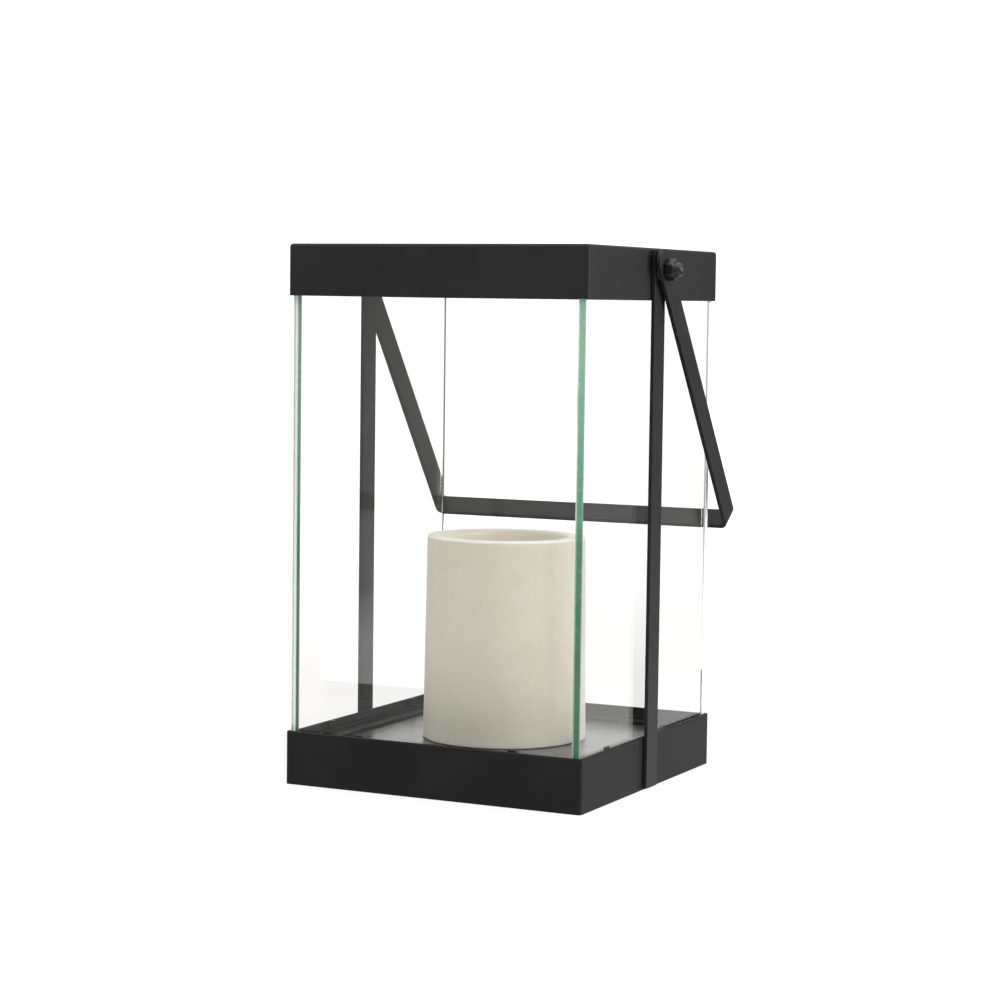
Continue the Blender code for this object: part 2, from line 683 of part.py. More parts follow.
def candle_body():
    """The outer sleeve, rounded at its foot and its top edge."""
    inside = CANDLE_RADIUS - CANDLE_WALL
    profile = [(inside, CANDLE_BOTTOM)]
    profile += arc((CANDLE_RADIUS - CANDLE_FOOT_ROUND, CANDLE_BOTTOM + CANDLE_FOOT_ROUND),
                   CANDLE_FOOT_ROUND, -90, 0, 3)
    profile += arc((CANDLE_RADIUS - CANDLE_LIP, CANDLE_TOP - CANDLE_LIP), CANDLE_LIP, 0, 90, 3)
    profile += [(inside, CANDLE_TOP)]
    piece("candle_body", turned(profile, 2 * SMALL_STEPS), "ivory")


def candle_rim():
    """A ring pressed into the top of the sleeve, whose rounded inner edge is the mouth of the bowl."""
    outside = CANDLE_RADIUS - CANDLE_WALL - GAP
    profile = [(RIM_RADIUS, CUP_BOTTOM), (outside, CUP_BOTTOM), (outside, CANDLE_TOP)]
    profile += arc((RIM_RADIUS + CANDLE_LIP, CANDLE_TOP - CANDLE_LIP), CANDLE_LIP, 90, 180, 3)
    piece("candle_rim", turned(profile, 2 * SMALL_STEPS), "ivory")


def candle_cup():
    """The floor of the bowl, a disc with a hole that the LED stands up through."""
    cup = disc(RIM_RADIUS - GAP, CUP_BOTTOM, BOWL_FLOOR, 2 * SMALL_STEPS)
    made = piece("candle_cup", cup, "ivory")
    cut(made, disc(LED_HOLE, CUP_BOTTOM - OVERLAP, BOWL_FLOOR + OVERLAP, SMALL_STEPS))


def candle_base():
    """A plate that closes the candle from below, with a collar that the LED's post stands in."""
    radius = CANDLE_RADIUS - CANDLE_WALL - GAP
    low = CANDLE_BOTTOM
    high = low + PLUG_THICKNESS
    made = piece("candle_base", disc(radius, low, high), "grey_plastic")
    collar_radius = POST_OUTER + 3 * MM
    collar_top = high + 5 * MM
    join(made, disc(collar_radius, high - OVERLAP, collar_top, SMALL_STEPS))
    cut(made, disc(POST_OUTER + GAP, high, collar_top + OVERLAP, SMALL_STEPS))
    cut(made, disc(POST_INNER, low - OVERLAP, high + OVERLAP, SMALL_STEPS))
    for number, y in enumerate((-CANDLE_SCREW_Y, CANDLE_SCREW_Y), 1):
        cut(made, screw_hole(0, y, low - OVERLAP, high + OVERLAP))
        screw(f"candle_screw_{number}", 0, y, DECK_UNDERSIDE, CANDLE_SCREW)


def candle_light():
    """The LED on its post, with the lead that comes up the middle."""
    post_bottom = CANDLE_BOTTOM + PLUG_THICKNESS + GAP
    post_top = CUP_BOTTOM - GAP
    tube = [(POST_INNER, post_bottom), (POST_OUTER, post_bottom)]
    tube += [(POST_OUTER, post_top), (POST_INNER, post_top)]
    piece("led_post", turned(tube, SMALL_STEPS), "grey_plastic")
    led_bottom = post_top + GAP
    dome_centre = led_bottom + LED_HEIGHT - LED_RADIUS
    lamp = [(0, led_bottom), (LED_FLANGE, led_bottom), (LED_FLANGE, led_bottom + 1 * MM)]
    lamp += [(LED_RADIUS, led_bottom + 1 * MM)] + arc((0, dome_centre), LED_RADIUS, 0, 90)[:-1]
    lamp += [(0, dome_centre + LED_RADIUS)]
    piece("led_lamp", turned(lamp, SMALL_STEPS), "lamp_resin")
    half = LEAD_HALF_DEPTH
    lead = [(-half, LEAD_HEIGHT - half)] + board_end(LED_LEAD_END)
    lead += [(half, LEAD_HEIGHT + half), (half, led_bottom - GAP), (-half, led_bottom - GAP)]
    piece("led_lead", prism(lead, "X", -LEAD_HALF_WIDTH, LEAD_HALF_WIDTH), "cable_black")


def board_end(y):
    """The outline of a lead's end that turns down onto the board, from its under side to its top."""
    near, far = y - LEAD_HALF_DEPTH, y + LEAD_HALF_DEPTH
    foot = BOARD_TOP + GAP
    return [(near, LEAD_HEIGHT - LEAD_HALF_DEPTH), (near, foot), (far, foot),
            (far, LEAD_HEIGHT + LEAD_HALF_DEPTH)]


# ---------------------------------------------------------------- battery


def battery_box():
    """A walled box on a flange, with rails below the flange that the door slides in."""
    flange_x = OPENING_X + 2.5 * MM
    flange_front = BATTERY_Y - OPENING_Y - 2.5 * MM
    flange_back = BATTERY_Y + OPENING_Y + 6.5 * MM
    flange_top = BOX_FLOOR + BOX_FLANGE
    flange_middle = BOX_FLOOR + BOX_FLANGE / 2
    flange = block((-flange_x, flange_front, BOX_FLOOR), (flange_x, flange_back, flange_top))
    made = piece("battery_box", flange, "black_plastic")
    wall_x = CAVITY_X + BOX_WALL
    wall_y = CAVITY_Y + BOX_WALL
    join(made, block((-wall_x, BATTERY_Y - wall_y, flange_middle), (wall_x, BATTERY_Y + wall_y, BOX_TOP)))
    rail_x = OPENING_X - 0.5 * MM
    outer = OPENING_Y - GAP
    inner = DOOR_Y + GAP
    lip = DOOR_Y - DOOR_LIP + GAP
    lip_top = DOOR_STEP - GAP
    for side in (-1, 1):
        rail = [(side * outer, DOOR_BOTTOM), (side * outer, flange_middle), (side * inner, flange_middle)]
        rail += [(side * inner, lip_top), (side * lip, lip_top), (side * lip, DOOR_BOTTOM)]
        join(made, moved(prism(rail, "X", -rail_x, rail_x), (0, BATTERY_Y, 0)))
    cut(made, block((-CAVITY_X, BATTERY_Y - CAVITY_Y, 0),
                    (CAVITY_X, BATTERY_Y + CAVITY_Y, BOX_TOP + OVERLAP)))
    for side in (-1, 1):
        cut(made, screw_hole(side * BOX_SCREW_X, BOX_SCREW_Y, SHEET, flange_top + OVERLAP))


def battery_door():
    """A plate with stepped edges, held up by the rails, that slides towards +X."""
    edge = [(DOOR_Y, DOOR_STEP), (DOOR_Y, SHEET), (-DOOR_Y, SHEET), (-DOOR_Y, DOOR_STEP)]
    narrow = DOOR_Y - DOOR_LIP
    edge += [(-narrow, DOOR_STEP), (-narrow, DOOR_BOTTOM), (narrow, DOOR_BOTTOM), (narrow, DOOR_STEP)]
    slide = empty("battery_door_slide", (0, BATTERY_Y, 0))
    made = piece("battery_door", prism(edge, "X", -DOOR_X, DOOR_X), "black_plastic", slide)
    for number in range(GROOVE_COUNT):
        x = DOOR_X - GROOVE_START - GROOVE_SPACING * number
        cut(made, block((x - GROOVE_HALF_WIDTH, -GROOVE_HALF_LENGTH, -OVERLAP),
                        (x + GROOVE_HALF_WIDTH, GROOVE_HALF_LENGTH, DOOR_BOTTOM + GROOVE)))


def battery_fittings():
    place = (0, BATTERY_Y, CELL_HEIGHT)
    shoulder = 0.6 * MM
    cell = [(0, CELL_START), (CELL_RADIUS - shoulder, CELL_START), (CELL_RADIUS, CELL_START + shoulder)]
    cell += [(CELL_RADIUS, CELL_END - shoulder), (CELL_RADIUS - shoulder, CELL_END), (NUB_RADIUS, CELL_END)]
    cell += [(NUB_RADIUS, NUB_END), (0, NUB_END)]
    piece("battery_cell", turned(cell, ROUND_STEPS, "X"), "cell_jacket").location = place
    plate_half = 5 * MM
    plate = block((NUB_END + GAP, -plate_half, -plate_half), (CAVITY_X - GAP, plate_half, plate_half))
    piece("contact_plate", plate, "steel").location = place
    piece("contact_spring", coil(), "steel").location = place


def coil():
    """A tapering spring of round wire along X, from the box's end to the cell."""
    wire = SPRING_WIRE
    start = -CAVITY_X + GAP + wire
    end = CELL_START - GAP - wire
    ahead = Vector((1, 0, 0))
    around = [2 * math.pi * side / SPRING_SIDES for side in range(SPRING_SIDES)]
    mesh = bmesh.new()
    rings = []
    for step in range(SPRING_STEPS + 1):
        share = step / SPRING_STEPS
        angle = 2 * math.pi * SPRING_TURNS * share
        radius = SPRING_WIDE + (SPRING_NARROW - SPRING_WIDE) * share
        outward = Vector((0, math.cos(angle), math.sin(angle)))
        centre = (start + (end - start) * share) * ahead + radius * outward
        ring = [centre + wire * (math.cos(a) * outward + math.sin(a) * ahead) for a in around]
        rings.append([mesh.verts.new(point) for point in ring])
    for first, second in zip(rings, rings[1:]):
        for side in range(SPRING_SIDES):
            following = (side + 1) % SPRING_SIDES
            mesh.faces.new((first[side], first[following], second[following], second[side]))
    mesh.faces.new(rings[0])
    mesh.faces.new(rings[-1])
    bmesh.ops.recalc_face_normals(mesh, faces=mesh.faces)
    return mesh


def box_screws():
    for number, side in enumerate((-1, 1), 1):
        screw(f"box_screw_{number}", side * BOX_SCREW_X, BOX_SCREW_Y, 0, SHORT_SCREW)


# ---------------------------------------------------------------- electronics


def power_switch():
    """A slide switch whose knob stays inside the slot, and moves towards +X to turn on."""
    low = SHEET + GAP
    body = centred_block(SWITCH_BODY, SWITCH_Y, low, SWITCH_TOP)
    made = piece("switch_body", body, "grey_plastic")
    join(made, centred_block(SWITCH_EARS, SWITCH_Y, low + GAP / 3, EAR_TOP))
    cut(made, centred_block(SWITCH_CAVITY, SWITCH_Y, 0, SWITCH_CAVITY_TOP))
    for number, x in enumerate((-SWITCH_EAR_X, SWITCH_EAR_X), 1):
        cut(made, screw_hole(x, SWITCH_Y, SHEET, EAR_TOP + OVERLAP))
        screw(f"switch_screw_{number}", x, SWITCH_Y, 0, SHORT_SCREW)
    slide = empty("power_switch_slide", (SWITCH_REST_X, SWITCH_Y, 0))
    carrier = centred_block(SWITCH_CARRIER, 0, low + GAP, SWITCH_CAVITY_TOP - GAP)
    slider = piece("switch_slider", carrier, "black_plastic", slide)
    join(slider, centred_block(SWITCH_KNOB, 0, KNOB_BOTTOM, low + GAP + OVERLAP))


def circuit_board():
    piece("pcb", centred_block(BOARD_SIZE, SWITCH_Y, BOARD_BOTTOM, BOARD_TOP), "circuit_green")
    chip = centred_block(CHIP_SIZE, SWITCH_Y, BOARD_TOP + GAP, CHIP_TOP)
    piece("driver_chip", moved(chip, (CHIP_X, 0, 0)), "black_plastic")
    inductor = disc(INDUCTOR_RADIUS, BOARD_TOP + GAP, INDUCTOR_TOP, SMALL_STEPS)
    piece("inductor", moved(inductor, INDUCTOR_PLACE), "black_plastic")
    start = BATTERY_Y + CAVITY_Y + BOX_WALL + GAP
    lead = [(start, LEAD_HEIGHT - LEAD_HALF_DEPTH)] + board_end(BATTERY_LEAD_END)
    lead += [(start, LEAD_HEIGHT + LEAD_HALF_DEPTH)]
    cable = prism(lead, "X", BATTERY_LEAD_X - LEAD_HALF_WIDTH, BATTERY_LEAD_X + LEAD_HALF_WIDTH)
    piece("battery_lead", cable, "cable_black")


def panel_cable():
    """A round cable from the panel's terminal box, down behind the right strap, to the board."""
    lead_end = TERMINAL_X + TERMINAL_SIZE[0] / 2 + GAP
    route = [(lead_end, CABLE_Y, CABLE_TOP)] + [(x, CABLE_Y, z) for x, z in CABLE_BENDS] + CABLE_TO_BOARD
    path = bpy.data.curves.new("panel_cable", "CURVE")
    path.dimensions = "3D"
    path.bevel_depth = CABLE_RADIUS
    path.bevel_resolution = 1
    path.use_fill_caps = True
    line = path.splines.new("POLY")
    line.points.add(len(route) - 1)
    for point, place in zip(line.points, route):
        point.co = (*place, 1)
    made = bpy.data.objects.new("panel_cable", path)
    made.data.materials.append(finish("cable_black"))
    bpy.context.scene.collection.objects.link(made)


def clear_scene():
    for item in list(bpy.data.objects):
        bpy.data.objects.remove(item)


def build():
    clear_scene()
    base_shell()
    floor_deck()
    deck_screws()
    glass_retainer()
    glass_panes()
    cap_shell()
    cap_liner()
    solar_panel()
    straps()
    handle()
    pivot_hardware()
    candle_body()
    candle_rim()
    candle_cup()
    candle_base()
    candle_light()
    battery_box()
    battery_door()
    battery_fittings()
    box_screws()
    power_switch()
    circuit_board()
    panel_cable()


build()
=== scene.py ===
"""A square solar lantern with glass panes, a flat-bar bail and an ivory LED candle."""

import math

import bmesh
import bpy
import numpy as np
from mathutils import Matrix, Vector


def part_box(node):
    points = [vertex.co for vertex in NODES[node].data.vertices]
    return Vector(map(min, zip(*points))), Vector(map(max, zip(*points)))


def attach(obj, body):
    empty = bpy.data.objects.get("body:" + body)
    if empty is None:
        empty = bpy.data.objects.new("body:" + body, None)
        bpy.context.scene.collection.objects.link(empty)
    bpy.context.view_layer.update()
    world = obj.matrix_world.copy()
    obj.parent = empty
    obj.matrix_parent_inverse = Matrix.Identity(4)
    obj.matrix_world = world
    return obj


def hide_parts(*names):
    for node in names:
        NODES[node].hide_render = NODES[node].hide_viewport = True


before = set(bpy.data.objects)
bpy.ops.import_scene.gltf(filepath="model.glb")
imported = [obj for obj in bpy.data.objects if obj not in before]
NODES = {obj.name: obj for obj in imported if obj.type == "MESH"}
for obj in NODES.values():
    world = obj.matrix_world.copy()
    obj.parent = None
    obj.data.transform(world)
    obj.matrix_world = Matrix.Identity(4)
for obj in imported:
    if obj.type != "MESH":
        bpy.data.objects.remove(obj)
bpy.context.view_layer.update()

MM = 0.001

# How much of the panes' mirroring their coating leaves.
GLASS_MIRROR = (0.34, 0.34, 0.34)

# The floor is turned so that its Y runs straight away from the photo's camera.
FLOOR_RADIUS = 1.4
FLOOR_TURN = 0.4585

# The sky's strength, and the lobes laid over it: behind the object, behind its right side, and overhead.
# Each is (direction, cosine where it starts, cosine where it is full, strength).
SIDE_LIGHT = 0.50
SKY = [
    ((-0.4426, 0.8967, -0.03), 0.82, 0.93, 1.36),
    ((0.4426, 0.8967, -0.05), 0.80, 0.95, 0.24),
    ((0, 0, 1), 0.30, 0.85, 1.45),
]

# Square area lamps: (name, place, target, width, power).
LAMPS = [
    ("overhead", (0.1, 0.1, 1.9), (0, 0, 0), 1.6, 11),
    ("key", (1.8, 0.1, 1.2), (0, 0, 0.10), 0.9, 17),
    ("rim", (1.7, 0.8, 0.35), (0, 0, 0.12), 0.8, 16),
    ("fill", (-0.9, -1.6, 1.3), (0, 0, 0.07), 0.9, 9),
]

# The photo's camera, solved from the lantern's corners. The angles are in radians.
CAMERA_PLACE = (0.5390, -1.0983, 0.22519)
CAMERA_TURN = 0.458519
CAMERA_DIP = 0.0761132
CAMERA_ROLL = 0.0128485
CAMERA_LENS_MM = 92.386


# ---------------------------------------------------------------- node materials


class Shader:
    """A procedural material, with short ways to add the nodes that this scene uses."""

    def __init__(self, name):
        self.material = bpy.data.materials.new(name)
        self.material.use_nodes = True
        self.tree = self.material.node_tree
        self.bsdf = self.tree.nodes["Principled BSDF"]
        self.output = self.tree.nodes["Material Output"]
        self.coordinates = self.add("ShaderNodeTexCoord")
        self.position = self.coordinates.outputs["Object"]

    def add(self, kind, **settings):
        made = self.tree.nodes.new(kind)
        for key, value in settings.items():
            setattr(made, key, value)
        return made

    def link(self, source, target):
        """Joins an output, or sets a plain value, to an input."""
        if isinstance(source, bpy.types.NodeSocket):
            self.tree.links.new(source, target)
        else:
            target.default_value = source

    def set(self, name, value):
        self.link(value, self.bsdf.inputs[name])

    def stretched(self, scale):
        """The position, scaled by its own factor along each axis."""
        node = self.add("ShaderNodeVectorMath", operation="MULTIPLY")
        self.link(self.position, node.inputs[0])
        node.inputs[1].default_value = scale
        return node.outputs[0]

    def length(self, vector):
        node = self.add("ShaderNodeVectorMath", operation="LENGTH")
        self.link(vector, node.inputs[0])
        return node.outputs["Value"]

    def noise(self, scale, detail, roughness=0.5, vector=None):
        node = self.add("ShaderNodeTexNoise")
        self.link(vector or self.position, node.inputs["Vector"])
        node.inputs["Scale"].default_value = scale
        node.inputs["Detail"].default_value = detail
        node.inputs["Roughness"].default_value = roughness
        return node.outputs["Fac"]

    def cells(self, scale, output="Distance"):
        node = self.add("ShaderNodeTexVoronoi")
        self.link(self.position, node.inputs["Vector"])
        node.inputs["Scale"].default_value = scale
        return node.outputs[output]

    def ranged(self, value, low, high, to_low=0.0, to_high=1.0):
        """Maps low..high to to_low..to_high, held at the ends."""
        node = self.add("ShaderNodeMapRange")
        self.link(value, node.inputs["Value"])
        node.inputs["From Min"].default_value = low
        node.inputs["From Max"].default_value = high
        node.inputs["To Min"].default_value = to_low
        node.inputs["To Max"].default_value = to_high
        return node.outputs["Result"]

    def math(self, operation, first, second=0.0):
        node = self.add("ShaderNodeMath", operation=operation)
        self.link(first, node.inputs[0])
        self.link(second, node.inputs[1])
        return node.outputs[0]

    def mixed(self, factor, first, second):
        """A colour between two colours."""
        node = self.add("ShaderNodeMix", data_type="RGBA")
        self.link(factor, node.inputs[0])
        for value, socket in ((first, node.inputs[6]), (second, node.inputs[7])):
            self.link(value if isinstance(value, bpy.types.NodeSocket) else (*value, 1), socket)
        return node.outputs[2]

    def axis(self, name):
        node = self.add("ShaderNodeSeparateXYZ")
        self.link(self.position, node.inputs[0])
        return node.outputs[name]

    def bump(self, height, distance):
        node = self.add("ShaderNodeBump")
        self.link(height, node.inputs["Height"])
        node.inputs["Distance"].default_value = distance
        return node.outputs["Normal"]

    def lets_light_through(self):
        """Lets lamps and diffuse bounces pass straight through, without a bend."""
        path = self.add("ShaderNodeLightPath")
        lamp = self.math("MAXIMUM", path.outputs["Is Shadow Ray"], path.outputs["Is Diffuse Ray"])
        clear = self.add("ShaderNodeBsdfTransparent")
        clear.inputs[0].default_value = (0.97, 0.99, 0.98, 1)
        mix = self.add("ShaderNodeMixShader")
        self.link(lamp, mix.inputs[0])
        self.link(self.bsdf.outputs[0], mix.inputs[1])
        self.link(clear.outputs[0], mix.inputs[2])
        self.link(mix.outputs[0], self.output.inputs["Surface"])

    def edges(self, radius):
        """Near 1 on the outer edges of a piece, and 0 on its flats."""
        bevel = self.add("ShaderNodeBevel", samples=4)
        bevel.inputs["Radius"].default_value = radius
        geometry = self.add("ShaderNodeNewGeometry")
        dot = self.add("ShaderNodeVectorMath", operation="DOT_PRODUCT")
        self.link(bevel.outputs[0], dot.inputs[0])
        self.link(geometry.outputs["Normal"], dot.inputs[1])
        return self.ranged(dot.outputs["Value"], 0.995, 0.90)


def coat(name, roughness, tone, gloss):
    """Satin black powder coat: a fine peel, faint clouding, and edges rubbed a little brighter."""
    s = Shader(name)
    cloud = s.noise(22, 3)
    fine = s.noise(1500, 3, 0.6)
    speck = s.ranged(s.cells(900), 0.10, 0.05)
    rubbed = s.math("MULTIPLY", s.edges(0.6 * MM), s.ranged(s.noise(160, 4, 0.65), 0.42, 0.62))
    dark = (0.0088 * tone, 0.0087 * tone, 0.0090 * tone)
    light = (0.0134 * tone, 0.0131 * tone, 0.0132 * tone)
    body = s.mixed(s.ranged(cloud, 0.3, 0.7), dark, light)
    body = s.mixed(s.math("MULTIPLY", speck, 0.35), body, (0.035, 0.034, 0.034))
    s.set("Base Color", s.mixed(s.math("MULTIPLY", rubbed, 0.5), body, (0.050, 0.049, 0.049)))
    rough = s.math("ADD", s.ranged(cloud, 0.3, 0.7, roughness - 0.03, roughness + 0.03),
                   s.ranged(fine, 0.3, 0.7, -0.03, 0.03))
    s.set("Roughness", s.math("SUBTRACT", rough, s.math("MULTIPLY", rubbed, 0.08)))
    s.set("Specular IOR Level", gloss)
    peel = s.math("ADD", s.noise(700, 2), s.math("MULTIPLY", fine, 0.5))
    s.set("Normal", s.bump(peel, 0.012 * MM))
    return s.material


def glass(name, face_axis):
    """Clear coated glass with ground edges, green, but pale at the back and at the far left as in the photo;
    that pale is painted light, and the edges' green is painted darker low down and at the far left and paler
    high up, as painted shade and light.

    face_axis is the axis that the pane's two large faces look along.
    """
    s = Shader(name)
    separate = s.add("ShaderNodeSeparateXYZ")
    s.link(s.coordinates.outputs["Normal"], separate.inputs[0])
    facing = s.math("ABSOLUTE", separate.outputs[face_axis])
    outside = s.math("SUBTRACT", 1.0, s.add("ShaderNodeNewGeometry").outputs["Backfacing"])
    edge = s.math("MULTIPLY", s.ranged(facing, 0.9, 0.6), outside)
    streak = s.noise(26, 4, 0.6, s.stretched((1, 1, 1.6)))
    fine = s.noise(400, 2)
    green = s.mixed(s.ranged(streak, 0.35, 0.65), (0.075, 0.270, 0.145), (0.150, 0.350, 0.215))
    # Painted shade and light: the edges' green darkens towards the bottom and turns paler towards the top.
    green = s.mixed(s.ranged(s.axis("Z"), 0.14, 0.02, 0.0, 0.72), green, (0.022, 0.085, 0.045))
    green = s.mixed(s.ranged(s.axis("Z"), 0.12, 0.20), green, (0.30, 0.52, 0.37))
    # Painted shade: the edges' green is darker at the far left.
    green = s.mixed(s.ranged(s.axis("X"), -0.05, -0.06, 0.0, 0.4), green, (0.030, 0.110, 0.070))
    # Painted light: at the back and at the far left the edges turn nearly white, standing in for bright
    # light seen there.
    pale = s.math("MAXIMUM", s.ranged(s.axis("Y"), 0.06, 0.07), s.ranged(s.axis("X"), -0.0726, -0.0732))
    green = s.mixed(pale, green, (0.90, 0.92, 0.91))
    s.set("Base Color", s.mixed(edge, (0.995, 0.985, 0.975), green))
    smear = s.ranged(s.noise(14, 4, 0.6), 0.45, 0.75, 0.0, 0.02)
    ground = s.math("MULTIPLY", edge, s.ranged(fine, 0.3, 0.7, 0.16, 0.30))
    s.set("Roughness", s.math("ADD", smear, ground))
    s.set("IOR", 1.5)
    s.set("Specular Tint", (*GLASS_MIRROR, 1))
    s.set("Transmission Weight", s.ranged(edge, 0.0, 1.0, 1.0, 0.12))
    s.set("Normal", s.bump(s.noise(9, 1), 0.02 * MM))
    absorb = s.add("ShaderNodeVolumeAbsorption")
    absorb.inputs["Color"].default_value = (0.30, 0.86, 0.58, 1)
    absorb.inputs["Density"].default_value = 3
    s.link(absorb.outputs[0], s.output.inputs["Volume"])
    s.lets_light_through()
    return s.material


def clear_resin():
    """The solar panel's clear cover: faint wipe marks, and a gentle waviness."""
    s = Shader("clear_cover")
    wipes = s.noise(90, 4, 0.65, s.stretched((1, 0.25, 1)))
    s.set("Base Color", s.mixed(s.ranged(wipes, 0.3, 0.7), (0.94, 0.96, 0.97), (0.985, 0.99, 0.99)))
    s.set("Roughness", s.ranged(wipes, 0.4, 0.75, 0.03, 0.14))
    s.set("Transmission Weight", 1.0)
    s.set("Normal", s.bump(s.noise(35, 2), 0.01 * MM))
    s.lets_light_through()
    return s.material


def silicon():
    """Solar wafers: blue crystal flakes under fine printed silver lines."""
    s = Shader("silicon")
    flakes = s.cells(260, output="Color")
    blue = s.mixed(s.ranged(flakes, 0.2, 0.8), (0.006, 0.011, 0.036), (0.012, 0.024, 0.075))
    line = s.math("PINGPONG", s.axis("X"), 0.9 * MM)
    worn = s.ranged(s.noise(500, 2), 0.3, 0.5, 0.5, 1.0)
    printed = s.math("MULTIPLY", s.ranged(line, 0.07 * MM, 0.03 * MM), worn)
    s.set("Base Color", s.mixed(printed, blue, (0.42, 0.44, 0.47)))
    s.set("Roughness", s.ranged(flakes, 0.2, 0.8, 0.24, 0.40))
    s.set("Normal", s.bump(s.noise(1400, 2), 0.006 * MM))
    return s.material


def wax():
    """Ivory wax: soft light inside it, a faint mottle, a satin skin, painted shade low down on its left, and
    a bowl and lip painted paler as painted light.
    """
    s = Shader("wax")
    mottle = s.noise(45, 4, 0.6)
    grain = s.noise(420, 3, 0.55)
    height = s.axis("Z")
    base = s.mixed(s.ranged(mottle, 0.3, 0.7), (0.620, 0.556, 0.472), (0.672, 0.610, 0.532))
    # Painted shade: the wax is darker towards the bottom, most on its left side.
    low = s.ranged(height, 0.056, 0.030, 0.0, 0.75)
    left = s.ranged(s.axis("X"), 0.030, 0.0, 0.1, 1.0)
    base = s.mixed(s.math("MULTIPLY", low, left), base, (0.58, 0.53, 0.46))
    radius = s.length(s.stretched((1, 1, 0)))
    # Painted light: the bowl's inside is paler against its shade, and the lip is paler still as a painted
    # highlight.
    bowl = s.math("MULTIPLY", s.ranged(radius, 0.0312, 0.0302), s.ranged(height, 0.100, 0.102))
    lip = s.ranged(height, 0.1140, 0.1150, 0.0, 0.9)
    pale = s.mixed(bowl, (0.94, 0.90, 0.83), (0.76, 0.71, 0.62))
    base = s.mixed(s.math("MAXIMUM", bowl, lip), base, pale)
    s.set("Base Color", s.mixed(s.ranged(grain, 0.55, 0.75, 0.0, 0.25), base, (0.81, 0.765, 0.68)))
    s.set("Roughness", s.ranged(mottle, 0.3, 0.7, 0.42, 0.56))
    s.set("Specular IOR Level", 0.35)
    s.set("Subsurface Weight", 0.35)
    s.set("Subsurface Radius", (1.0, 0.75, 0.45))
    s.set("Subsurface Scale", 0.006)
    s.set("Normal", s.bump(s.math("ADD", mottle, s.math("MULTIPLY", grain, 0.25)), 0.10 * MM))
    return s.material


def metal(name, colour, roughness, along=(1, 1, 1)):
    """Plated steel with fine marks and slightly uneven gloss."""
    s = Shader(name)
    marks = s.noise(900, 3, 0.6, s.stretched(along))
    cloud = s.noise(180, 3)
    darker = tuple(value * 0.72 for value in colour)
    s.set("Base Color", s.mixed(s.ranged(cloud, 0.3, 0.7), darker, colour))
    s.set("Metallic", 1.0)
    s.set("Roughness", s.math("ADD", s.ranged(marks, 0.3, 0.7, roughness - 0.06, roughness + 0.08),
                              s.math("MULTIPLY", s.edges(0.25 * MM), -0.05)))
    s.set("Normal", s.bump(marks, 0.004 * MM))
    return s.material


def plastic(name, colour, roughness):
    """Moulded plastic with a fine matt texture."""
    s = Shader(name)
    cloud = s.noise(60, 3)
    lighter = tuple(value * 1.35 + 0.004 for value in colour)
    rubbed = tuple(value * 1.8 + 0.01 for value in colour)
    body = s.mixed(s.ranged(cloud, 0.3, 0.7), colour, lighter)
    s.set("Base Color", s.mixed(s.math("MULTIPLY", s.edges(0.4 * MM), 0.4), body, rubbed))
    s.set("Roughness", s.ranged(cloud, 0.3, 0.7, roughness - 0.05, roughness + 0.06))
    s.set("Normal", s.bump(s.cells(1200), 0.01 * MM))
    return s.material


def floor_material():
    """A glowing white strip that runs away behind the object, and fades to plain grey beside and ahead."""
    s = Shader("studio_floor")
    behind = s.math("MAXIMUM", s.axis("Y"), 0.0)
    aside = s.math("SUBTRACT", s.math("ABSOLUTE", s.axis("X")), s.math("MULTIPLY", behind, 0.19))
    beside = s.math("MULTIPLY", s.ranged(aside, 0.26, 0.48), s.ranged(s.axis("Y"), -0.45, -0.05))
    far = s.ranged(s.length(s.position), 0.45, 1.25)
    ahead = s.math("MULTIPLY", far, s.ranged(s.axis("Y"), 0.25, -0.15))
    fade = s.math("MAXIMUM", beside, ahead)
    white = s.mixed(s.noise(3, 2), (0.12, 0.12, 0.12), (0.14, 0.14, 0.14))
    grey = s.mixed(s.ranged(s.axis("Y"), -0.1, 0.2), (0.30, 0.30, 0.30), (0.23, 0.23, 0.23))
    s.set("Base Color", s.mixed(fade, white, grey))
    s.set("Emission Color", (1, 1, 1, 1))
    glow = s.ranged(s.axis("Y"), 0.35, 1.0, 0.84, 1.15)
    s.set("Emission Strength", s.math("MULTIPLY", glow, s.ranged(fade, 0.0, 1.0, 1.0, 0.0)))
    s.set("Roughness", 0.9)
    s.set("Specular IOR Level", 0.1)
    return s.material


# ---------------------------------------------------------------- refining the CAD pieces


# Points closer than WELD become one, and triangles that lean less than FLAT from each other are joined.
# Edges that turn more than SHARP are shaded sharp, and those that turn more than BEVELLED are bevelled.
WELD = 0.002 * MM
SHARP = math.radians(32)
FLAT = math.radians(0.3)
BEVELLED = math.radians(40)


